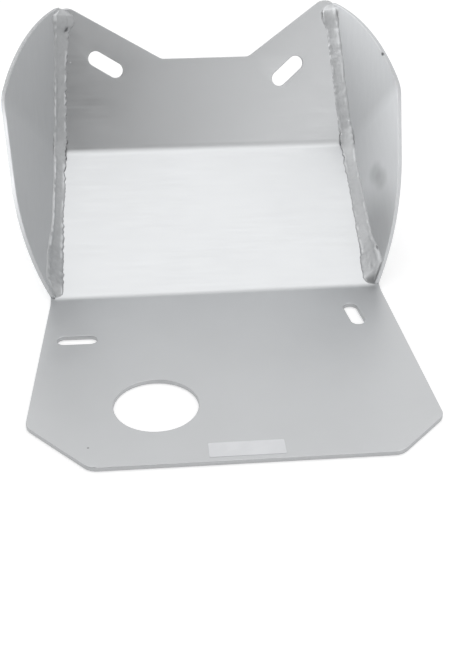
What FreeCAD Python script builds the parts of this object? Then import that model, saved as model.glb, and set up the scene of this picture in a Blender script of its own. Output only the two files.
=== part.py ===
"""Motorbike skid plate: a folded aluminium sheet with two bent side wings welded on.

The belly panel lies flat under the engine, the ramp panel rises from it and the nose panel
rises from the ramp. Each wing stands on the inner faces of the ramp and the nose and flares
outwards. X runs across the plate, Y towards the nose, Z up. Lengths are millimetres.
"""
import FreeCAD, Part
import math
import os

V = FreeCAD.Vector

# Folded sheet
SHEET = 3.2
BEND_RADIUS = 10.0
BELLY_BEND = 30.0
NOSE_BEND = 40.0
RAMP_LENGTH = 119.4
BELLY_FOLD_HALF = 112.4
NOSE_FOLD_HALF = 109.0
FOLD_RUN = 3.0
FOLD_EASE = 40.0
EDGE_BREAK = 0.4
SHARP_ANGLE = 50.0

# Belly panel, measured from its fold
BELLY_LENGTH = 178.4
BELLY_FRONT_HALF = 122.3
LEFT_CORNER_WIDTH = 37.3
LEFT_CORNER_LENGTH = 40.7
RIGHT_CORNER_WIDTH = 31.0
RIGHT_CORNER_LENGTH = 31.1
CORNER_RADIUS = 10.0
DRAIN_RADIUS = 25.4
DRAIN_X = -46.0
DRAIN_Y = -123.5

# Nose panel, measured from its fold
NOTCH_HEIGHT = 63.9
NOTCH_X = 2.0
NOTCH_HALF = 31.1
NOTCH_RADIUS = 7.0
EAR_RADIUS = 9.0
LEFT_EAR_HALF = 102.2
LEFT_EAR_HEIGHT = 106.2
RIGHT_EAR_HALF = 95.4
RIGHT_EAR_HEIGHT = 108.4

# Mounting slots: one punch for the belly and one for the nose. Each slot's place is its inset
# from its own end of the panel's fold, its distance from the fold, and its angle from X
BELLY_SLOT_LENGTH = 25.5
BELLY_SLOT_WIDTH = 9.3
LEFT_BELLY_SLOT = (18.7, -50.6, -0.9)
RIGHT_BELLY_SLOT = (23.8, -34.1, 97.7)
NOSE_SLOT_LENGTH = 26.3
NOSE_SLOT_WIDTH = 10.5
LEFT_NOSE_SLOT = (40.0, 61.0, -31.8)
RIGHT_NOSE_SLOT = (48.1, 52.9, 41.3)

# Side wings
WING_SHEET = 3.2
WING_INSET = 3.5
CREASE_RADIUS = 25.0
CREASE_FORWARD = 32.0
CREASE_RISE = 55.2
RIM_DEPTH = 54.1
LEFT_FLARE = 31.4
RIGHT_FLARE = 25.2
LEFT_RIM_START = 101.2
RIGHT_RIM_START = 99.9
LEFT_RIM_STRAIGHT = 59.0
RIGHT_RIM_STRAIGHT = 48.6

# Weld beads
BEAD_LEG = 6.0
BEAD_CROWN = 0.9
BEAD_END_GAP = 1.0
BLOB_RADIUS = 6.6

# Sticker
LABEL_LENGTH = 43.5
LABEL_WIDTH = 12.5
LABEL_SHEET = 0.2
LABEL_RADIUS = 1.0
LABEL_X = 3.7
LABEL_GAP = 3.5

# Reach of the solids that only trim others
REACH = 400.0

RAMP_ANGLE = BELLY_BEND
NOSE_ANGLE = BELLY_BEND + NOSE_BEND
BELLY_SETBACK = BEND_RADIUS * math.tan(math.radians(BELLY_BEND / 2))
NOSE_SETBACK = BEND_RADIUS * math.tan(math.radians(NOSE_BEND / 2))


def panel_frame(origin, angle):
    """Placement of a panel: its own X, Y lie on its inner face and its Z points inwards."""
    return FreeCAD.Placement(origin, FreeCAD.Rotation(V(1, 0, 0), angle))


BELLY = panel_frame(V(0, 0, SHEET), 0)
RAMP = panel_frame(V(0, 0, SHEET), RAMP_ANGLE)
NOSE = panel_frame(RAMP.multVec(V(0, RAMP_LENGTH, 0)), NOSE_ANGLE)


def unit(vector):
    return vector * (1 / vector.Length)


def across(vector, axis):
    """The part of a vector that is square to a unit axis, as a unit vector."""
    return unit(vector - axis * vector.dot(axis))


def line(start, end):
    return Part.LineSegment(start, end).toShape()


def arc(start, middle, end):
    return Part.Arc(start, middle, end).toShape()


def rounded_face(corners):
    """Flat face through (x, y, radius) corners, each rounded by its radius."""
    edges = []
    ends = []
    for i, (x, y, radius) in enumerate(corners):
        corner = V(x, y, 0)
        back = V(*corners[i - 1][:2], 0) - corner
        ahead = V(*corners[(i + 1) % len(corners)][:2], 0) - corner
        if radius == 0:
            ends.append((corner, corner))
            continue
        half = back.getAngle(ahead) / 2
        start = corner + unit(back) * (radius / math.tan(half))
        end = corner + unit(ahead) * (radius / math.tan(half))
        inward = unit(unit(back) + unit(ahead))
        edges.append(arc(start, corner + inward * (radius / math.sin(half) - radius), end))
        ends.append((start, end))
    for i, (start, end) in enumerate(ends):
        edges.append(line(ends[i - 1][1], start))
    return Part.Face(Part.Wire(Part.sortEdges(edges)[0]))


def slot_cutter(length, width, x, y, angle):
    """Obround punch that passes through a panel."""
    half = (length - width) / 2
    side = width / 2
    wire = Part.Wire([
        line(V(-half, -side, 0), V(half, -side, 0)),
        arc(V(half, -side, 0), V(half + side, 0, 0), V(half, side, 0)),
        line(V(half, side, 0), V(-half, side, 0)),
        arc(V(-half, side, 0), V(-half - side, 0, 0), V(-half, -side, 0)),
    ])
    punch = Part.Face(wire).extrude(V(0, 0, -3 * SHEET))
    punch.Placement = FreeCAD.Placement(V(x, y, SHEET), FreeCAD.Rotation(V(0, 0, 1), angle))
    return punch


def slot_pair(length, width, fold_half, left, right):
    """The punches of one panel's two slots."""
    return [
        slot_cutter(length, width, side * (fold_half - inset), y, angle)
        for side, (inset, y, angle) in ((-1, left), (1, right))
    ]


def panel(frame, corners, cutters=()):
    """Flat panel in place, with its holes."""
    solid = rounded_face(corners).extrude(V(0, 0, -SHEET))
    for cutter in cutters:
        solid = solid.cut(cutter)
    solid.Placement = frame
    return solid


def fold(frame, position, half_width, angle):
    """Bend of constant width that starts square to a panel at a position along it."""
    section = Part.makePolygon([
        V(-half_width, position, 0), V(half_width, position, 0),
        V(half_width, position, -SHEET), V(-half_width, position, -SHEET),
        V(-half_width, position, 0),
    ])
    solid = Part.Face(section).revolve(V(0, position, BEND_RADIUS), V(1, 0, 0), angle)
    solid.Placement = frame
    return solid


def broken_edges(solid):
    """The solid with its sharp edges filed off."""
    faces_at = {}
    for face in solid.Faces:
        for edge in face.Edges:
            faces_at.setdefault(edge.hashCode(), (edge, []))[1].append(face)
    edges = []
    for edge, faces in faces_at.values():
        if len(faces) != 2:
            continue
        middle = edge.valueAt((edge.FirstParameter + edge.LastParameter) / 2)
        first, second = [face.normalAt(*face.Surface.parameter(middle)) for face in faces]
        if math.degrees(first.getAngle(second)) > SHARP_ANGLE:
            edges.append(edge)
    return solid.makeChamfer(EDGE_BREAK, edges)


def eased_corner(x, y, far_x, far_y):
    """Where a side that leaves a fold square to it turns, by an easy arc, to a far corner."""
    run = FOLD_RUN
    for _ in range(8):
        turn = math.atan2(abs(far_x - x), abs(far_y - y) - run)
        run = FOLD_RUN + FOLD_EASE * math.tan(turn / 2)
    return (x, y + math.copysign(run, far_y - y), FOLD_EASE)


def base_plate():
    left_side_end = LEFT_CORNER_LENGTH - BELLY_LENGTH
    right_side_end = RIGHT_CORNER_LENGTH - BELLY_LENGTH
    drain = Part.makeCylinder(DRAIN_RADIUS, 3 * SHEET, V(DRAIN_X, DRAIN_Y, -2 * SHEET))
    belly = panel(BELLY, [
        (-BELLY_FOLD_HALF, -BELLY_SETBACK, 0),
        eased_corner(-BELLY_FOLD_HALF, -BELLY_SETBACK, -BELLY_FRONT_HALF, left_side_end),
        (-BELLY_FRONT_HALF, left_side_end, CORNER_RADIUS),
        (LEFT_CORNER_WIDTH - BELLY_FRONT_HALF, -BELLY_LENGTH, CORNER_RADIUS),
        (BELLY_FRONT_HALF - RIGHT_CORNER_WIDTH, -BELLY_LENGTH, CORNER_RADIUS),
        (BELLY_FRONT_HALF, right_side_end, CORNER_RADIUS),
        eased_corner(BELLY_FOLD_HALF, -BELLY_SETBACK, BELLY_FRONT_HALF, right_side_end),
        (BELLY_FOLD_HALF, -BELLY_SETBACK, 0),
    ], [drain] + slot_pair(
        BELLY_SLOT_LENGTH, BELLY_SLOT_WIDTH, BELLY_FOLD_HALF, LEFT_BELLY_SLOT, RIGHT_BELLY_SLOT
    ))
    ramp_end = RAMP_LENGTH - NOSE_SETBACK
    ramp = panel(RAMP, [
        (-BELLY_FOLD_HALF, BELLY_SETBACK, 0),
        eased_corner(-BELLY_FOLD_HALF, BELLY_SETBACK, -NOSE_FOLD_HALF, ramp_end),
        eased_corner(-NOSE_FOLD_HALF, ramp_end, -BELLY_FOLD_HALF, BELLY_SETBACK),
        (-NOSE_FOLD_HALF, ramp_end, 0),
        (NOSE_FOLD_HALF, ramp_end, 0),
        eased_corner(NOSE_FOLD_HALF, ramp_end, BELLY_FOLD_HALF, BELLY_SETBACK),
        eased_corner(BELLY_FOLD_HALF, BELLY_SETBACK, NOSE_FOLD_HALF, ramp_end),
        (BELLY_FOLD_HALF, BELLY_SETBACK, 0),
    ])
    nose = panel(NOSE, [
        (-NOSE_FOLD_HALF, NOSE_SETBACK, 0),
        eased_corner(-NOSE_FOLD_HALF, NOSE_SETBACK, -LEFT_EAR_HALF, LEFT_EAR_HEIGHT),
        (-LEFT_EAR_HALF, LEFT_EAR_HEIGHT, EAR_RADIUS),
        (NOTCH_X - NOTCH_HALF, NOTCH_HEIGHT, NOTCH_RADIUS),
        (NOTCH_X + NOTCH_HALF, NOTCH_HEIGHT, NOTCH_RADIUS),
        (RIGHT_EAR_HALF, RIGHT_EAR_HEIGHT, EAR_RADIUS),
        eased_corner(NOSE_FOLD_HALF, NOSE_SETBACK, RIGHT_EAR_HALF, RIGHT_EAR_HEIGHT),
        (NOSE_FOLD_HALF, NOSE_SETBACK, 0),
    ], slot_pair(NOSE_SLOT_LENGTH, NOSE_SLOT_WIDTH, NOSE_FOLD_HALF, LEFT_NOSE_SLOT, RIGHT_NOSE_SLOT))
    belly_fold = fold(BELLY, -BELLY_SETBACK, BELLY_FOLD_HALF, BELLY_BEND)
    nose_fold = fold(RAMP, ramp_end, NOSE_FOLD_HALF, NOSE_BEND)
    sheet = belly.fuse([belly_fold, ramp, nose_fold, nose]).removeSplitter()
    return broken_edges(sheet)


def behind_sheet():
    """Everything on the outer side of the folded sheet's inner face."""
    def fold_arc(frame, position, angle):
        centre = frame.multVec(V(0, position, BEND_RADIUS))
        start = frame.multVec(V(0, position, 0)) - centre
        points = [
            centre + FreeCAD.Rotation(V(1, 0, 0), share * angle).multVec(start)
            for share in (0, 0.5, 1)
        ]
        return points
    first = fold_arc(BELLY, -BELLY_SETBACK, BELLY_BEND)
    second = fold_arc(RAMP, RAMP_LENGTH - NOSE_SETBACK, NOSE_BEND)
    front = BELLY.multVec(V(0, -REACH, 0))
    top = NOSE.multVec(V(0, REACH, 0))
    low_back = V(0, top.y, -REACH)
    low_front = V(0, front.y, -REACH)
    wire = Part.Wire([
        line(front, first[0]), arc(*first), line(first[2], second[0]), arc(*second),
        line(second[2], top), line(top, low_back), line(low_back, low_front), line(low_front, front),
    ])
    solid = Part.Face(wire).extrude(V(2 * REACH, 0, 0))
    solid.translate(V(-REACH, 0, 0))
    return solid


class Wing:
    """One side wing: a sheet bent along a crease that runs outwards from the nose fold."""

    def __init__(self, side, flare, ear_half, ear_height, rim_start, rim_straight):
        self.side = side
        self.rim_straight = rim_straight
        edge_share = rim_start / ear_height
        ear_edge = NOSE_FOLD_HALF + (ear_half - NOSE_FOLD_HALF) * edge_share
        self.low = RAMP.multVec(V(side * (BELLY_FOLD_HALF - WING_INSET), 0, 0))
        self.root = NOSE.multVec(V(side * (NOSE_FOLD_HALF - WING_INSET), 0, 0))
        self.top = NOSE.multVec(V(side * (ear_edge - WING_INSET), rim_start, 0))
        self.knee = self.root + V(side * flare, -CREASE_FORWARD, CREASE_RISE)
        to_top = self.top - self.root
        to_low = self.low - self.root
        self.crease = unit(self.knee - self.root)
        self.nose_normal = unit(to_top.cross(self.crease)) * side
        self.ramp_normal = unit(self.crease.cross(to_low)) * side
        self.view = unit(self.nose_normal + self.ramp_normal)
        self.nose_leg = across(to_top, self.crease)
        self.ramp_leg = across(to_low, self.crease)

    def bent_sheet(self, thickness):
        """Wide bent sheet whose inner face holds both root lines and the crease."""
        half_bend = (math.pi - self.nose_leg.getAngle(self.ramp_leg)) / 2
        setback = CREASE_RADIUS * math.tan(half_bend)
        inward = unit(self.nose_leg + self.ramp_leg)
        foot = self.root - self.crease * REACH
        centre = foot + inward * (CREASE_RADIUS / math.cos(half_bend))

        def side_points(depth):
            nose_shift = self.nose_normal * depth
            ramp_shift = self.ramp_normal * depth
            return [
                foot + self.nose_leg * REACH + nose_shift,
                foot + self.nose_leg * setback + nose_shift,
                centre - inward * (CREASE_RADIUS + depth),
                foot + self.ramp_leg * setback + ramp_shift,
                foot + self.ramp_leg * REACH + ramp_shift,
            ]
        a = side_points(0)
        b = side_points(thickness)
        wire = Part.Wire([
            line(a[0], a[1]), arc(a[1], a[2], a[3]), line(a[3], a[4]), line(a[4], b[4]),
            line(b[4], b[3]), arc(b[3], b[2], b[1]), line(b[1], b[0]), line(b[0], a[0]),
        ])
        return Part.Face(wire).extrude(self.crease * (2 * REACH))

    def blank(self):
        """The cut outline as a prism, square to the wing's mean face."""
        def flat(point):
            return point - self.view * (point - self.root).dot(self.view)

        def tangent_arc(start, end, heading):
            """Arc from start to end that leaves start along the unit heading."""
            chord = end - start
            lean = across(heading, unit(chord))
            rise = chord.Length / 2 * math.tan(heading.getAngle(chord) / 2)
            return arc(start, start + chord * 0.5 + lean * rise, end)
        ramp_line = unit(self.low - self.root)
        ramp_depth = across(self.knee - self.root, ramp_line)
        turn = flat(self.root + ramp_line * self.rim_straight + ramp_depth * RIM_DEPTH)
        top = flat(self.top)
        knee = flat(self.knee)
        low = flat(self.low)
        run = unit(turn - knee)
        away = flat(self.root - self.crease * (self.knee - self.root).Length) - self.root
        wire = Part.Wire(Part.sortEdges([
            tangent_arc(knee, top, run * -1), line(knee, turn), tangent_arc(turn, low, run),
            line(low, low + away), line(low + away, self.root + away),
            line(self.root + away, top + away), line(top + away, top),
        ])[0])
        prism = Part.Face(wire).extrude(self.view * (2 * REACH))
        prism.translate(self.view * -REACH)
        return prism

    def solid(self, behind):
        return self.bent_sheet(WING_SHEET).common(self.blank()).cut(behind)

    def bead_run(self, end, panel_normal):
        """Round bar whose face is the weld's, along the root from past the fold to the end."""
        along = unit(end - self.root)
        start = self.root - along * (2 * BEAD_LEG)
        on_wing = across(self.knee - self.root, along)
        on_panel = unit(along.cross(panel_normal))
        if on_panel.x * self.side > 0:
            on_panel = on_panel * -1
        wing_toe = start + on_wing * BEAD_LEG
        panel_toe = start + on_panel * BEAD_LEG
        crown = (wing_toe + panel_toe) * 0.5 + unit(on_wing + on_panel) * BEAD_CROWN
        face = Part.Circle(panel_toe, crown, wing_toe)
        return Part.makeCylinder(face.Radius, (end - start).Length, face.Center, along)

    def bead(self, behind):
        """Weld along both roots, with the blob left where each run starts and stops."""
        end_gap = BEAD_END_GAP + BLOB_RADIUS
        high_end = self.top - unit(self.top - self.root) * end_gap
        low_end = self.low - unit(self.low - self.root) * end_gap
        nose_run = self.bead_run(high_end, NOSE.Rotation.multVec(V(0, 0, 1)))
        ramp_run = self.bead_run(low_end, RAMP.Rotation.multVec(V(0, 0, 1)))
        blobs = [Part.makeSphere(BLOB_RADIUS, end) for end in (high_end, low_end)]
        outside = self.bent_sheet(REACH / 4)
        return nose_run.fuse([ramp_run] + blobs).cut(behind).cut(outside).removeSplitter()


def label():
    half_length = LABEL_LENGTH / 2
    half_width = LABEL_WIDTH / 2
    sticker = rounded_face([
        (x * half_length, y * half_width, LABEL_RADIUS)
        for x, y in ((-1, -1), (1, -1), (1, 1), (-1, 1))
    ]).extrude(V(0, 0, LABEL_SHEET))
    label_y = LABEL_GAP + half_width - BELLY_LENGTH
    sticker.translate(BELLY.multVec(V(LABEL_X, label_y, 0)))
    return sticker


def main():
    behind = behind_sheet()
    left = Wing(
        -1, LEFT_FLARE, LEFT_EAR_HALF, LEFT_EAR_HEIGHT, LEFT_RIM_START, LEFT_RIM_STRAIGHT
    )
    right = Wing(
        1, RIGHT_FLARE, RIGHT_EAR_HALF, RIGHT_EAR_HEIGHT, RIGHT_RIM_START, RIGHT_RIM_STRAIGHT
    )
    nodes = {
        "base_plate": base_plate(),
        "left_side_wing": left.solid(behind),
        "right_side_wing": right.solid(behind),
        "left_weld_bead": left.bead(behind),
        "right_weld_bead": right.bead(behind),
        "label": label(),
    }
    # The origin is on the centre line, halfway along the belly's outer face
    to_origin = V(0, BELLY_LENGTH / 2, 0)
    os.makedirs("parts", exist_ok=True)
    for name, shape in nodes.items():
        shape.translate(to_origin)
        shape.exportStep("parts/" + name + ".step")


main()
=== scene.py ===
import math
from collections import namedtuple

import bmesh
import bpy
from mathutils import Matrix, Vector, noise


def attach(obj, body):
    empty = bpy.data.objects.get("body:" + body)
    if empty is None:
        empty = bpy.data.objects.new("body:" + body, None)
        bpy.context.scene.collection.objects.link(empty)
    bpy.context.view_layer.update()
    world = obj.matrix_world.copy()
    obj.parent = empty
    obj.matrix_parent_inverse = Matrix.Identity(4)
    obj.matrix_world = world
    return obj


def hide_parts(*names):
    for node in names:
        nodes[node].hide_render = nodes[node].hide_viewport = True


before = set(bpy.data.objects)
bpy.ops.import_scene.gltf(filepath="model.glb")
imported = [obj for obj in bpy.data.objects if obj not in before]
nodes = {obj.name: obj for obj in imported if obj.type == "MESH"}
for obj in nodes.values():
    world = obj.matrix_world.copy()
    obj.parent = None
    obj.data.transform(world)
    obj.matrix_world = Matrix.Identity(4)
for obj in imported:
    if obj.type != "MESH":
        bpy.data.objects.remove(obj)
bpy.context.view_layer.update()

# Sizes shared with the solids, in metres
SHEET = 0.0032
BELLY_HALF_LENGTH = 0.0892
RAMP_LENGTH = 0.1194
RAMP_ANGLE = math.radians(30)
NOSE_ANGLE = math.radians(70)
BELLY_FOLD_HALF = 0.1124
NOSE_FOLD_HALF = 0.1090
WING_INSET = 0.0035
CREASE_FORWARD = 0.032
CREASE_RISE = 0.0552
BEAD_LEG = 0.0060
BEAD_END_GAP = 0.0010
BELLY_BEND_HALF = 0.0027
NOSE_BEND_HALF = 0.0036

# Edges of the sheets
EDGE_BREAK = 0.0005
EDGE_SEGMENTS = 3
EDGE_ANGLE = math.radians(50)
FLAT_ANGLE = math.radians(0.2)
SAME_POINT = 0.00001
NORMAL_WEIGHT = 80

# Mesh and section of the welds
BEAD_STEP = 0.0005
BEAD_FACETS = 24
BEAD_BACK = 3
BEAD_TURN = 0.016
BEAD_SINK = 0.0004
BEAD_HOLLOW = 0.0003
BEAD_PROUD = 0.0002
SHOULDER_POWER = 10
END_RADIUS = 0.0060
END_LEAST = 0.0025
WING_LEG_END = 0.0010
WING_LEG_TOP_TAPER = 1.6
WING_LEG_LOW_TAPER = 1.25

# Unevenness of the welds. Pitches, halves, heights and jags are lengths, and the rest are shares.
SEED_STEPS = (7.31, 3.17)
LEG_WAVER = 0.05
PANEL_WAVER_PITCH, WING_WAVER_PITCH = 0.013, 0.015
PANEL_JAG, PANEL_JAG_PITCH = 0.0005, 0.0027
WING_JAG, WING_JAG_PITCH = 0.0004, 0.0031
JAG_CENTRE, JAG_HALF = 0.008, 0.034
TOE_SHARE = 0.3
# The crests beside the weld toes are raised a little and also painted lighter as a highlight; near
# the fold that painted highlight is dulled.
CREST_PLACE, CREST_WIDTH = 0.72, 0.16
CREST_LEAST, WING_CREST, STREAK_CREST = 0.05, 0.15, 0.8
LONG_STREAK, LONG_STREAK_PITCH = 0.6, 0.011
SHORT_STREAK, SHORT_STREAK_PITCH = 0.5, 0.004
STREAK_RANGE = (-0.4, 0.7)
FOLD_DULLING, FOLD_DULL_HALF = 0.8, 0.014
# Painted shade where the weld turns at the nose fold, and a dark line along the panel toe that is
# partly soot and partly painted shade in the undercut.
FOLD_SHADE_HALF = 0.016
SOOT_SHADE_LEAST, SOOT_SHADE_HALF = 0.4, 0.035
SOOT_SHADE_TOE = (0.12, 0.02)
SOOT_SHADE_RANGE = (-0.1, 0.3)
SOOT_SHADE_START = (-0.016, -0.008)
SOOT_SHADE_PITCH = 0.003
SOOTY_SHADED_PIT = 0.0006
PIT_SPREAD = 1.5
RIPPLE_HEIGHT, RIPPLE_PITCH = 0.00001, 0.0024
RIPPLE_LAG = 0.0012
RIPPLE_DRIFT, RIPPLE_DRIFT_PITCH = 2.5, 0.02
LUMP_HEIGHT, LUMPS_PER_METRE = 0.00010, 230
GRIT_HEIGHT, GRITS_PER_METRE = 0.00004, 700

# Each weld and the wing it holds. Tones and rim tones are (low, high) on the weld and on the
# wing's sawn edge, below and above a height; that change, and the difference between the two
# sides, is painted light and shade. Gleam is the strength of the painted highlight on the crests,
# and fold shade is painted shade where the weld turns. A lobe is (distance from the top end, or
# from the low end if negative, half length, growth of the panel leg, growth of the wing leg). A
# pit is (distance, share of the face from the panel toe, half length, half share, depth).
WELDS = {
    "left": {
        "side": -1, "flare": 0.0314, "ear_half": 0.1022, "ear_height": 0.1062,
        "rim_start": 0.1012, "seed": 11, "ridge": 0.0004, "gleam": 0.65, "jag": 1.0,
        "fold_shade": 0.0, "tones": (0.51, 0.45), "rim_tones": (0.56, 0.30),
        "lobes": (
            (0.0085, 0.0100, 0.0046, 0.0006),
            (0.0040, 0.0150, 0.0000, 0.0022),
            (0.0550, 0.0500, -0.0006, 0.0000),
            (-0.0850, 0.0500, -0.0012, 0.0004),
            (-0.0360, 0.0500, -0.0012, 0.0016),
            (-0.0130, 0.0500, -0.0002, 0.0056),
        ),
        "pits": (
            (0.0145, 0.24, 0.0020, 0.08, 0.0009),
            (0.0085, 0.32, 0.0055, 0.04, 0.00025),
            (0.0080, 0.86, 0.0055, 0.04, 0.00025),
        ),
    },
    "right": {
        "side": 1, "flare": 0.0252, "ear_half": 0.0954, "ear_height": 0.1084,
        "rim_start": 0.0999, "seed": 23, "ridge": 0.0002, "gleam": 0.24, "jag": 0.5,
        "fold_shade": 0.40, "tones": (0.345, 0.54), "rim_tones": (0.68, 0.58),
        "lobes": (
            (0.0070, 0.0110, 0.0022, 0.0008),
            (0.0650, 0.0500, 0.0000, -0.0008),
            (-0.0400, 0.0450, -0.0003, 0.0016),
            (-0.0120, 0.0260, 0.0010, 0.0075),
        ),
        "pits": (
            (0.0075, 0.92, 0.0040, 0.05, 0.0005),
            (0.0060, 0.10, 0.0045, 0.05, 0.0005),
            (-0.0230, 0.95, 0.0022, 0.07, 0.0006),
            (-0.0110, 0.45, 0.0030, 0.06, 0.0003),
        ),
    },
}

# Marks: place, radius, depth, tone, and the way that the marked side looks if only one is marked
INNER = (-1.0, 0.0, 0.0)
BASE_MARKS = (
    ((-0.0858, -0.0716, SHEET), 0.0009, 0.8, 0.10, None),
    ((-0.0936, 0.2142, 0.1222), 0.0009, 0.9, 0.90, None),
)
WING_MARKS = {
    "left": (),
    "right": (
        ((0.1180, 0.1346, 0.0616), 0.0105, 0.22, 0.10, INNER),
        ((0.1158, 0.1440, 0.0616), 0.0105, 0.22, 0.10, INNER),
        # Painted shade: a broad darkening of the wing's lower part near the weld.
        ((0.1125, 0.1120, 0.0300), 0.0450, 0.34, 0.10, INNER),
        ((0.1220, 0.1771, 0.1359), 0.0018, 0.9, 0.08, None),
    ),
}

# Looks of the sheets. Clouds and grit are so many in a metre, and a grain is so many along each
# axis. A bump is (strength, height in metres), and a change is (height where it starts, ends).
TINT = 0.032
SHEET_TONES = (0.565, 0.585)
SHEET_CLOUDS, SHEET_GRIT = 14.0, 900.0
SHEET_BUMP = (0.10, 0.0001)
BASE_GRAIN = (30.0, 900.0, 900.0)
WING_GRAIN = (900.0, 60.0, 60.0)
GRAIN_TONE = 0.615
GRAIN_RANGE = (0.35, 0.7)
GRAIN_SHARE, GRAIN_HEIGHT = 0.12, 0.6
BASE_ROUGHNESS, BASE_EDGE_ROUGHNESS = 0.41, 0.53
WING_ROUGHNESS, WING_EDGE_ROUGHNESS = 0.75, 0.72
CLOUD_ROUGHNESS = (-0.03, 0.02)
GRAIN_ROUGHNESS = (-0.02, 0.03)
# The base plate's sawn edges are painted darker than its faces, as painted shade; the wings' rims
# change tone at a height, as painted light and shade.
BASE_EDGE_TONES = (0.52, 0.52)
RIM_CHANGE = (0.105, 0.125)
EDGE_FACING = (0.35, 0.75)
SAW_GRAIN = (700.0, 700.0, 90.0)
SAW_SHARE = (0.75, 1.0)
MARK_CORE = 0.2

# Looks of the welds and the label
WELD_CLOUDS, WELD_LUMPS, WELD_GRIT = 240.0, 420.0, 1500.0
WELD_GRIT_HEIGHT = 0.15
WELD_BUMP = (0.25, 0.0005)
# Height where a weld's tone changes from low to high, as painted light and shade.
WELD_CHANGE = (0.040, 0.085)
WELD_ROUGHNESS = (0.54, 0.60)
# Tone of the painted highlight on the weld crests, and the dark tone of soot and painted shade.
GLEAM_TONE, SOOT_AND_SHADE_TONE = 0.72, 0.12
CLOUD_SOOT, SOOT_AND_SHADE_SHARE = 0.17, 0.75
SHARE_RANGE = (0.1, 0.9)
LABEL_TONES = ((0.745, 0.755, 0.775, 1), (0.785, 0.795, 0.815, 1))
LABEL_CLOUDS = 90.0
LABEL_GRAIN = (3000.0, 600.0, 600.0)
LABEL_ROUGHNESS = (0.45, 0.60)
LABEL_BUMP = (0.05, 0.00005)

# Noise's usual range, and the sockets of a mix of colours
NOISE_RANGE = (0.3, 0.7)
MIX_INPUTS = (0, 6, 7)
MIX_RESULT = 2

# Floor, world and card
WHITE = (1, 1, 1, 1)
FLOOR_TONE = (0.80, 0.80, 0.80, 1)
FLOOR_ROUGHNESS = 0.9
FLOOR_SEEN, FLOOR_MIRRORED = 0.40, 0.30
FLOOR_HALF = 12.0
FLOOR_DROP = 0.0002
WORLD_LIGHT, WORLD_SEEN = 0.75, 1.0
CARD_TONE = (0.01, 0.01, 0.01, 1)

# Camera, fitted to the outline of the plate
IMAGE_WIDTH, IMAGE_HEIGHT = 465, 650
FOCAL_PIXELS = 1200.0
SENSOR = 36.0
CLIP_START, CLIP_END = 0.01, 50
CAMERA_PLACE = (-0.0546, -0.6051, 0.4325)
CAMERA_YAW = math.radians(5.385)
CAMERA_PITCH = math.radians(33.213)
CAMERA_ROLL = math.radians(0.316)

Run = namedtuple("Run", "along on_panel on_wing length")


def add_object(name, data):
    obj = bpy.data.objects.new(name, data)
    bpy.context.scene.collection.objects.link(obj)
    return obj


def add_camera():
    level = Vector((math.sin(CAMERA_YAW), math.cos(CAMERA_YAW), 0))
    ahead = level * math.cos(CAMERA_PITCH) - Vector((0, 0, math.sin(CAMERA_PITCH)))
    right = Vector((level.y, -level.x, 0))
    above = right.cross(ahead)
    cosine, sine = math.cos(CAMERA_ROLL), math.sin(CAMERA_ROLL)
    side = right * cosine + above * sine
    top = above * cosine - right * sine
    data = bpy.data.cameras.new("camera")
    data.sensor_width = SENSOR
    data.lens = SENSOR * FOCAL_PIXELS / max(IMAGE_WIDTH, IMAGE_HEIGHT)
    data.clip_start, data.clip_end = CLIP_START, CLIP_END
    camera = add_object("camera", data)
    turn = Matrix((side, top, -ahead)).transposed()
    camera.matrix_world = Matrix.Translation(CAMERA_PLACE) @ turn.to_4x4()
    bpy.context.scene.camera = camera


def panel_point(start, angle, x, along):
    return start + Vector((x, along * math.cos(angle), along * math.sin(angle)))


def square_to(vector, axis):
    """The part of a vector that is square to a unit axis, as a unit vector."""
    return (vector - axis * vector.dot(axis)).normalized()


def blend(start, end, value):
    """0 at start, 1 at end, smooth between and level beyond."""
    share = min(max((value - start) / (end - start), 0.0), 1.0)
    return share * share * (3 - 2 * share)


def hump(value):
    """1 at 0, falling smoothly to 0 at -1 and 1."""
    return max(0.0, 1 - value * value) ** 2


def wander(seed, distance, pitch):
    """Smooth noise along a run, about -1 to 1."""
    spot = Vector((distance / pitch, seed * SEED_STEPS[0], seed * SEED_STEPS[1]))
    return noise.noise(spot) * 2.0


def crease_of(weld):
    """From the weld's inner corner to the outer end of the bend in the wing."""
    return Vector((weld["side"] * weld["flare"], -CREASE_FORWARD, CREASE_RISE))


def weld_runs(weld):
    """The inner corner at the nose fold, and the runs up and down from it."""
    side = weld["side"]
    belly_fold = Vector((0, BELLY_HALF_LENGTH, SHEET))
    nose_fold = panel_point(belly_fold, RAMP_ANGLE, 0, RAMP_LENGTH)
    share = weld["rim_start"] / weld["ear_height"]
    edge = NOSE_FOLD_HALF + (weld["ear_half"] - NOSE_FOLD_HALF) * share
    low = panel_point(belly_fold, RAMP_ANGLE, side * (BELLY_FOLD_HALF - WING_INSET), 0)
    root = panel_point(nose_fold, NOSE_ANGLE, side * (NOSE_FOLD_HALF - WING_INSET), 0)
    top = panel_point(nose_fold, NOSE_ANGLE, side * (edge - WING_INSET), weld["rim_start"])
    runs = []
    for end, angle in ((top, NOSE_ANGLE), (low, RAMP_ANGLE)):
        along = (end - root).normalized()
        inward = Vector((0, -math.sin(angle), math.cos(angle)))
        on_panel = along.cross(inward).normalized()
        if on_panel.x * side > 0:
            on_panel.negate()
        on_wing = square_to(crease_of(weld), along)
        runs.append(Run(along, on_panel, on_wing, (end - root).length - BEAD_END_GAP))
    return root, runs


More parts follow.
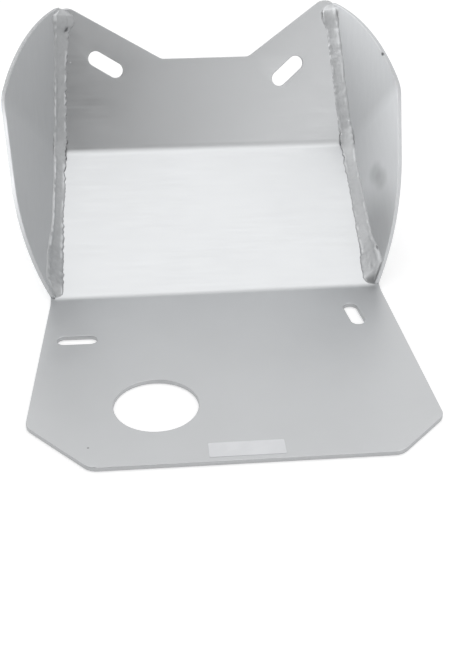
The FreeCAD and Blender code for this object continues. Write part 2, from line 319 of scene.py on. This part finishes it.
def weld_station(root, runs, reach):
    """The corner's place and the directions of the legs, at a distance past the nose fold."""
    upper, lower = runs
    turn = blend(-BEAD_TURN, BEAD_TURN, reach)
    bend = max(0.0, 1 - abs(reach) / BEAD_TURN) ** 2 * BEAD_TURN / 4
    place = root + (upper.along * -reach if reach < 0 else lower.along * reach)
    place += (upper.along + lower.along) * bend
    on_panel = upper.on_panel.lerp(lower.on_panel, turn).normalized()
    on_wing = upper.on_wing.lerp(lower.on_wing, turn).normalized()
    return place, on_panel, on_wing


def from_top(distance, total):
    """A distance from the top end, where a negative one is counted from the low end."""
    return distance if distance >= 0 else total + distance


def weld_legs(weld, run, total, reach):
    """The lengths of the panel and wing legs, and how far each toe strays."""
    seed = weld["seed"]
    panel_leg = BEAD_LEG * (1 + LEG_WAVER * wander(seed, run, PANEL_WAVER_PITCH))
    wing_leg = BEAD_LEG * (1 + LEG_WAVER * wander(seed + 2, run, WING_WAVER_PITCH))
    jag = weld["jag"] + (1 - weld["jag"]) * hump((reach - JAG_CENTRE) / JAG_HALF)
    panel_jag = PANEL_JAG * jag * wander(seed + 1, run, PANEL_JAG_PITCH)
    wing_jag = WING_JAG * jag * wander(seed + 3, run, WING_JAG_PITCH)
    for centre, half, to_panel, to_wing in weld["lobes"]:
        share = hump((run - from_top(centre, total)) / half)
        panel_leg += to_panel * share
        wing_leg += to_wing * share
    low_limit = WING_LEG_END + WING_LEG_LOW_TAPER * (total - run)
    top_limit = WING_LEG_END + WING_LEG_TOP_TAPER * run
    return panel_leg, min(wing_leg, low_limit, top_limit), panel_jag, wing_jag


def end_size(run, total):
    """1 along a weld, falling as a round end does."""
    size = 1.0
    for gap in (run, total - run):
        if gap < END_RADIUS:
            size *= math.sqrt(max(1 - (1 - gap / END_RADIUS) ** 2, END_LEAST))
    return size


def weld_crest_and_highlight(weld, run, reach, t):
    """The broken crest beside each toe, 0 to 1, at a share of the face from the panel toe. It
    raises the face a little and is also painted on it as a highlight.
    """
    wing_half = 0 if t < 0.5 else 1
    seed = weld["seed"] + wing_half
    streak = LONG_STREAK * wander(seed + 4, run, LONG_STREAK_PITCH)
    streak += SHORT_STREAK * wander(seed + 14, run, SHORT_STREAK_PITCH)
    crest = math.exp(-((abs(2 * t - 1) - CREST_PLACE) / CREST_WIDTH) ** 2)
    crest *= CREST_LEAST + WING_CREST * wing_half + STREAK_CREST * blend(*STREAK_RANGE, streak)
    return crest * (1 - FOLD_DULLING * hump(reach / FOLD_DULL_HALF))


def weld_soot_and_shade(weld, run, reach, t):
    """Soot and painted shade along the panel toe, from the nose fold down, and painted shade at
    the fold.
    """
    sooty_shade = blend(*SOOT_SHADE_TOE, t) * blend(*SOOT_SHADE_RANGE, wander(weld["seed"] + 9, run, SOOT_SHADE_PITCH))
    sooty_shade *= blend(*SOOT_SHADE_START, reach) * (SOOT_SHADE_LEAST + (1 - SOOT_SHADE_LEAST) * hump(reach / SOOT_SHADE_HALF))
    return max(sooty_shade, weld["fold_shade"] * hump(reach / FOLD_SHADE_HALF))


def weld_relief(seed, run, t, spot):
    """Height of the face over its chord: hollow, ripples, lumps and grit."""
    middle = 1 - abs(2 * t - 1) ** 2
    phase = RIPPLE_DRIFT * wander(seed + 6, run, RIPPLE_DRIFT_PITCH)
    ripple = math.sin(2 * math.pi * (run + RIPPLE_LAG * middle) / RIPPLE_PITCH + phase)
    relief = BEAD_PROUD - BEAD_HOLLOW * middle + RIPPLE_HEIGHT * ripple
    relief += LUMP_HEIGHT * noise.noise(spot * LUMPS_PER_METRE)
    return relief + GRIT_HEIGHT * noise.noise(spot * GRITS_PER_METRE)


def ring_mesh(name, points, ring):
    """Closed solid through rings of so many points each."""
    build = bmesh.new()
    verts = [build.verts.new(point) for point in points]
    rings = [verts[i:i + ring] for i in range(0, len(verts), ring)]
    for a, b in zip(rings, rings[1:]):
        for k in range(ring):
            build.faces.new((a[k], a[(k + 1) % ring], b[(k + 1) % ring], b[k]))
    build.faces.new(rings[0])
    build.faces.new(reversed(rings[-1]))
    bmesh.ops.recalc_face_normals(build, faces=build.faces)
    mesh = bpy.data.meshes.new(name)
    build.to_mesh(mesh)
    build.free()
    return mesh


def weld_bead(name, weld):
    """Hand-laid fillet weld: hollow face, raised uneven toes, faint ripples, lobes and pits."""
    root, runs = weld_runs(weld)
    upper = runs[0].length
    total = upper + runs[1].length
    stations = int(total / BEAD_STEP)
    points, painted_highlight, dark = [], [], []
    for i in range(stations + 1):
        run = total * i / stations
        reach = run - upper
        place, on_panel, on_wing = weld_station(root, runs, reach)
        outward = (on_panel + on_wing).normalized()
        panel_leg, wing_leg, panel_jag, wing_jag = weld_legs(weld, run, total, reach)
        size = end_size(run, total)
        for k in range(BEAD_FACETS + 1):
            t = k / BEAD_FACETS
            chord = on_panel * (panel_leg * (1 - t) + panel_jag * hump(t / TOE_SHARE))
            chord += on_wing * (wing_leg * t + wing_jag * hump((1 - t) / TOE_SHARE))
            # The crest raises the face and is also stored as the share of painted highlight.
            crest = weld_crest_and_highlight(weld, run, reach, t)
            sooty_shade = weld_soot_and_shade(weld, run, reach, t)
            rise = weld["ridge"] * crest + weld_relief(weld["seed"], run, t, place + chord)
            for centre, share, half_length, half_share, depth in weld["pits"]:
                along = (run - from_top(centre, total)) / half_length
                across = (t - share) / half_share
                hollow = hump(math.hypot(along, across) / PIT_SPREAD)
                rise -= depth * hollow
                # The pit is also darkened, the deeper the darker: painted shade in the hollow,
                # partly soot.
                sooty_shade = max(sooty_shade, hollow * min(depth / SOOTY_SHADED_PIT, 1.0))
            shoulder = 1 - abs(2 * t - 1) ** SHOULDER_POWER
            points.append(place + (chord + outward * (rise * shoulder)) * size)
            painted_highlight.append(crest)
            dark.append(sooty_shade)
        points.append(place + on_wing * ((wing_leg + wing_jag) * size) - on_panel * BEAD_SINK)
        points.append(place - (on_panel + on_wing) * BEAD_SINK)
        points.append(place + on_panel * ((panel_leg + panel_jag) * size) - on_wing * BEAD_SINK)
        painted_highlight += [0.0] * BEAD_BACK
        dark += [0.0] * BEAD_BACK
    mesh = ring_mesh(name, points, BEAD_FACETS + 1 + BEAD_BACK)
    for key, values in (("painted_highlight", painted_highlight), ("dark", dark)):
        mesh.attributes.new(key, "FLOAT", "POINT").data.foreach_set("value", values)
    mesh.shade_smooth()
    return add_object(name, mesh)


def add_modifier(obj, kind, **settings):
    modifier = obj.modifiers.new(kind.lower(), kind)
    for key, value in settings.items():
        setattr(modifier, key, value)


def file_edges(obj):
    """Breaks the cut edges of a sheet, as a file does."""
    add_modifier(obj, "WELD", merge_threshold=SAME_POINT)
    add_modifier(obj, "DECIMATE", decimate_type="DISSOLVE", angle_limit=FLAT_ANGLE)
    add_modifier(
        obj, "BEVEL", width=EDGE_BREAK, segments=EDGE_SEGMENTS, limit_method="ANGLE",
        angle_limit=EDGE_ANGLE, use_clamp_overlap=False,
    )
    add_modifier(obj, "WEIGHTED_NORMAL", mode="FACE_AREA", weight=NORMAL_WEIGHT)


def smooth_edges(obj):
    """Shades the filed edges that a sheet already has as round ones."""
    add_modifier(obj, "WELD", merge_threshold=SAME_POINT)
    add_modifier(obj, "WEIGHTED_NORMAL", mode="FACE_AREA", weight=NORMAL_WEIGHT)


class Shader:
    """A material's node tree, with short ways to add and join nodes."""

    def __init__(self, name):
        self.material = bpy.data.materials.new(name)
        self.material.use_nodes = True
        self.tree = self.material.node_tree
        self.surface = self.tree.nodes["Principled BSDF"]

    def set(self, name, value):
        self.put(self.surface.inputs[name], value)

    def put(self, socket, value):
        if isinstance(value, bpy.types.NodeSocket):
            self.tree.links.new(value, socket)
        else:
            socket.default_value = value

    def add(self, kind, settings=None, **sockets):
        node = self.tree.nodes.new("ShaderNode" + kind)
        for key, value in (settings or {}).items():
            setattr(node, key, value)
        for key, value in sockets.items():
            self.put(node.inputs[key.replace("_", " ")], value)
        return node

    def place(self):
        return self.add("TexCoord").outputs["Object"]

    def coordinate(self, axis):
        return self.add("SeparateXYZ", Vector=self.place()).outputs[axis]

    def attribute(self, name):
        return self.add("Attribute", {"attribute_name": name}).outputs["Fac"]

    def noise(self, vector, scale, detail=3.0, roughness=0.55):
        node = self.add("TexNoise", Vector=vector, Scale=scale, Detail=detail, Roughness=roughness)
        return node.outputs["Fac"]

    def grain(self, streaks, detail=3.0, roughness=0.55):
        node = self.add("Mapping", Vector=self.place(), Scale=streaks)
        return self.noise(node.outputs["Vector"], 1.0, detail, roughness)

    def span(self, value, low, high, to_low=0.0, to_high=1.0):
        node = self.add("MapRange", {"interpolation_type": "SMOOTHSTEP"}, Value=value)
        for name, number in (
            ("From Min", low), ("From Max", high), ("To Min", to_low), ("To Max", to_high),
        ):
            node.inputs[name].default_value = number
        return node.outputs["Result"]

    def spread(self, value, to_low=0.0, to_high=1.0):
        """A noise, or a share of a face, from its usual range to another."""
        return self.span(value, *NOISE_RANGE, to_low, to_high)

    def math(self, operation, first, second=0.0):
        node = self.add("Math", {"operation": operation})
        self.put(node.inputs[0], first)
        self.put(node.inputs[1], second)
        return node.outputs["Value"]

    def vector_math(self, operation, first, second):
        node = self.add("VectorMath", {"operation": operation})
        self.put(node.inputs[0], first)
        self.put(node.inputs[1], second)
        return node.outputs["Value"]

    def facing(self, direction):
        """How far the surface looks in a direction, from -1 to 1."""
        normal = self.add("TexCoord").outputs["Normal"]
        return self.vector_math("DOT_PRODUCT", normal, direction)

    def mix(self, factor, first, second):
        node = self.add("Mix", {"data_type": "RGBA"})
        for index, value in zip(MIX_INPUTS, (factor, first, second)):
            self.put(node.inputs[index], value)
        return node.outputs[MIX_RESULT]

    def bump(self, height, strength, distance):
        node = self.add("Bump", Height=height, Strength=strength, Distance=distance)
        self.set("Normal", node.outputs["Normal"])


def grey(level):
    return (level, level * (1 + TINT * 0.5), level * (1 + TINT), 1.0)


def folded_face(s):
    """The direction that the folded sheet's inner face looks in, at any point of the sheet."""
    y = s.coordinate("Y")
    nose_fold = BELLY_HALF_LENGTH + RAMP_LENGTH * math.cos(RAMP_ANGLE)
    first = s.span(
        y, BELLY_HALF_LENGTH - BELLY_BEND_HALF, BELLY_HALF_LENGTH + BELLY_BEND_HALF, 0, RAMP_ANGLE,
    )
    second = s.span(
        y, nose_fold - NOSE_BEND_HALF, nose_fold + NOSE_BEND_HALF, 0, NOSE_ANGLE - RAMP_ANGLE,
    )
    angle = s.math("ADD", first, second)
    back = s.math("MULTIPLY", s.math("SINE", angle), -1.0)
    return s.add("CombineXYZ", Y=back, Z=s.math("COSINE", angle)).outputs["Vector"]


def wing_faces(weld):
    """The directions that the two panels of a wing look in."""
    return [crease_of(weld).cross(run.along).normalized() for run in weld_runs(weld)[1]]


def cut_edge_mask(s, faces):
    """1 on the sawn edges of a sheet, 0 on its faces, which look along the directions given."""
    nearest = 0.0
    for face in faces:
        nearest = s.math("MAXIMUM", s.math("ABSOLUTE", s.facing(face)), nearest)
    return s.span(nearest, *EDGE_FACING, 1.0, 0.0)


def sheet_material(name, streaks, marks, roughness, edge_roughness, edge_tones, faces=None):
    """Mill-finish aluminium: rolled grain, faint clouding, sawn edges, marks of handling. The sawn
    edges carry painted light and shade: darker on the base plate, lighter or darker with height on
    the wings. Some marks are painted shade.
    """
    s = Shader(name)
    s.set("Metallic", 1.0)
    grain = s.grain(streaks, detail=3.0, roughness=0.6)
    cloud = s.noise(s.place(), SHEET_CLOUDS, detail=4.0, roughness=0.6)
    fine = s.noise(s.place(), SHEET_GRIT, detail=2.0)
    tone = s.mix(s.spread(cloud), grey(SHEET_TONES[0]), grey(SHEET_TONES[1]))
    tone = s.mix(s.span(grain, *GRAIN_RANGE, 0.0, GRAIN_SHARE), tone, grey(GRAIN_TONE))
    rough = s.spread(cloud, roughness + CLOUD_ROUGHNESS[0], roughness + CLOUD_ROUGHNESS[1])
    rough = s.math("ADD", rough, s.spread(grain, *GRAIN_ROUGHNESS))
    edge = cut_edge_mask(s, faces or [folded_face(s)])
    # Painted light and shade on the sawn edges: one tone below a height and another above, over
    # real saw marks.
    edge_tone = s.mix(
        s.span(s.coordinate("Z"), *RIM_CHANGE), grey(edge_tones[0]), grey(edge_tones[1]),
    )
    saw_marks = s.spread(s.grain(SAW_GRAIN, detail=2.0), *SAW_SHARE)
    tone = s.mix(s.math("MULTIPLY", edge, saw_marks), tone, edge_tone)
    rough = s.math("ADD", rough, s.math("MULTIPLY", edge, edge_roughness - roughness))
    for point, radius, depth, mark_tone, side in marks:
        distance = s.vector_math("DISTANCE", s.place(), point)
        share = s.span(distance, radius * MARK_CORE, radius, depth, 0.0)
        if side:
            share = s.math("MULTIPLY", share, s.spread(s.facing(side)))
        tone = s.mix(share, tone, grey(mark_tone))
    s.set("Base Color", tone)
    s.set("Roughness", rough)
    grain_height = s.math("MULTIPLY", grain, GRAIN_HEIGHT)
    fine_height = s.math("MULTIPLY", fine, 1 - GRAIN_HEIGHT)
    s.bump(s.math("ADD", grain_height, fine_height), *SHEET_BUMP)
    return s.material


def weld_material(name, low_tone, high_tone, gleam):
    """Dull weld metal, with a painted highlight on the crests beside the toes, and soot and
    painted shade along the panel toe, in the pits and at the fold.
    """
    s = Shader(name)
    s.set("Metallic", 1.0)
    cloud = s.noise(s.place(), WELD_CLOUDS, detail=4.0, roughness=0.65)
    lumps = s.noise(s.place(), WELD_LUMPS)
    fine = s.noise(s.place(), WELD_GRIT)
    # Painted highlight on the crests beside the toes.
    painted_highlight = s.span(s.attribute("painted_highlight"), *SHARE_RANGE, 0.0, gleam)
    # Painted shade, partly soot, along the panel toe, in the pits and where the weld turns at the
    # fold.
    dark = s.span(s.attribute("dark"), *SHARE_RANGE, 0.0, SOOT_AND_SHADE_SHARE)
    # One tone below a height and another above, set for each weld: painted light and shade on the
    # same metal.
    tone = s.mix(s.span(s.coordinate("Z"), *WELD_CHANGE), grey(low_tone), grey(high_tone))
    tone = s.mix(s.spread(cloud, CLOUD_SOOT, 0.0), tone, grey(SOOT_AND_SHADE_TONE))
    tone = s.mix(painted_highlight, tone, grey(GLEAM_TONE))
    tone = s.mix(dark, tone, grey(SOOT_AND_SHADE_TONE))
    s.set("Base Color", tone)
    s.set("Roughness", s.spread(cloud, *WELD_ROUGHNESS))
    s.bump(s.math("ADD", lumps, s.math("MULTIPLY", fine, WELD_GRIT_HEIGHT)), *WELD_BUMP)
    return s.material


def label_material():
    """Blank paper label with a faint fibre."""
    s = Shader("label_film")
    cloud = s.noise(s.place(), LABEL_CLOUDS)
    fibre = s.grain(LABEL_GRAIN)
    s.set("Base Color", s.mix(s.spread(cloud), *LABEL_TONES))
    s.set("Roughness", s.spread(fibre, *LABEL_ROUGHNESS))
    s.bump(fibre, *LABEL_BUMP)
    return s.material


def paint(obj, material):
    obj.data.materials.clear()
    obj.data.materials.append(material)


def add_floor():
    """Pale floor, which the camera sees as white outside the shadow."""
    s = Shader("pale_floor")
    s.set("Base Color", FLOOR_TONE)
    s.set("Roughness", FLOOR_ROUGHNESS)
    s.set("Specular IOR Level", 0.0)
    path = s.add("LightPath").outputs
    mirrored = s.math("MAXIMUM", path["Is Glossy Ray"], path["Is Transmission Ray"])
    mirrored = s.math("MULTIPLY", mirrored, FLOOR_MIRRORED)
    seen = s.math("MULTIPLY", path["Is Camera Ray"], FLOOR_SEEN)
    s.set("Emission Color", WHITE)
    s.set("Emission Strength", s.math("MAXIMUM", seen, mirrored))
    mesh = bpy.data.meshes.new("floor")
    corners = [(-1, -1), (1, -1), (1, 1), (-1, 1)]
    mesh.from_pydata([(x * FLOOR_HALF, y * FLOOR_HALF, 0) for x, y in corners], [], [(0, 1, 2, 3)])
    floor = add_object("floor", mesh)
    floor.location.z = -FLOOR_DROP
    paint(floor, s.material)


def add_world():
    """White to the camera and in metal, a little dimmer as a light."""
    world = bpy.data.worlds.new("studio")
    world.use_nodes = True
    bpy.context.scene.world = world
    tree = world.node_tree
    background = tree.nodes["Background"]
    background.inputs["Color"].default_value = WHITE
    path = tree.nodes.new("ShaderNodeLightPath").outputs
    seen = path["Is Camera Ray"]
    for ray in ("Is Glossy Ray", "Is Transmission Ray"):
        either = tree.nodes.new("ShaderNodeMath")
        either.operation = "MAXIMUM"
        tree.links.new(seen, either.inputs[0])
        tree.links.new(path[ray], either.inputs[1])
        seen = either.outputs[0]
    level = tree.nodes.new("ShaderNodeMapRange")
    level.inputs["To Min"].default_value = WORLD_LIGHT
    level.inputs["To Max"].default_value = WORLD_SEEN
    tree.links.new(seen, level.inputs["Value"])
    tree.links.new(level.outputs["Result"], background.inputs["Strength"])


def add_lamp(name, place, target, size, power, lit=()):
    """Soft box. Where pieces are given, it lights those alone."""
    data = bpy.data.lights.new(name, "AREA")
    data.shape = "RECTANGLE"
    data.size, data.size_y = size
    data.energy = power
    lamp = add_object(name, data)
    lamp.location = place
    way = Vector(target) - Vector(place)
    lamp.rotation_euler = way.to_track_quat("-Z", "Y").to_euler()
    if lit:
        receivers = bpy.data.collections.new(name + "_lit")
        for piece in lit:
            receivers.objects.link(piece)
        lamp.light_linking.receiver_collection = receivers


def add_card(name, place, size):
    """Upright dark card, which only reflections show."""
    s = Shader(name)
    s.set("Base Color", CARD_TONE)
    s.set("Specular IOR Level", 0.0)
    x, z = size[0] / 2, size[1] / 2
    mesh = bpy.data.meshes.new(name)
    mesh.from_pydata([(-x, 0, -z), (x, 0, -z), (x, 0, z), (-x, 0, z)], [], [(0, 1, 2, 3)])
    card = add_object(name, mesh)
    card.location = place
    paint(card, s.material)
    card.visible_camera = False
    card.visible_diffuse = False
    card.visible_shadow = False


add_camera()
paint(nodes["base_plate"], sheet_material(
    "aluminium_sheet", BASE_GRAIN, BASE_MARKS, BASE_ROUGHNESS, BASE_EDGE_ROUGHNESS,
    BASE_EDGE_TONES,
))
paint(nodes["label"], label_material())
smooth_edges(nodes["base_plate"])
upright = []
for side, weld in WELDS.items():
    wing = nodes[side + "_side_wing"]
    paint(wing, sheet_material(
        "aluminium_" + side, WING_GRAIN, WING_MARKS[side], WING_ROUGHNESS, WING_EDGE_ROUGHNESS,
        weld["rim_tones"], wing_faces(weld),
    ))
    file_edges(wing)
    bead = weld_bead(side + "_weld", weld)
    paint(bead, weld_material(side + "_weld_metal", *weld["tones"], weld["gleam"]))
    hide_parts(side + "_weld_bead")
    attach(bead, "root")
    upright += [wing, bead]

bpy.context.scene.view_settings.view_transform = "Standard"
add_floor()
add_world()
add_lamp("overhead", (0.1, 0.0, 1.6), (0, 0.05, 0.05), (1.2, 1.3), 3.5)
add_lamp("left_box", (-1.00, 0.42, 0.58), (0.1, 0.15, 0.10), (1.8, 1.0), 16.0, upright)
add_lamp("front_fill", (0.34, -1.25, 0.26), (0.05, 0.20, 0.10), (0.6, 0.5), 0.8)
add_card("dark_card", (-0.42, -0.80, 0.45), (0.84, 1.0))
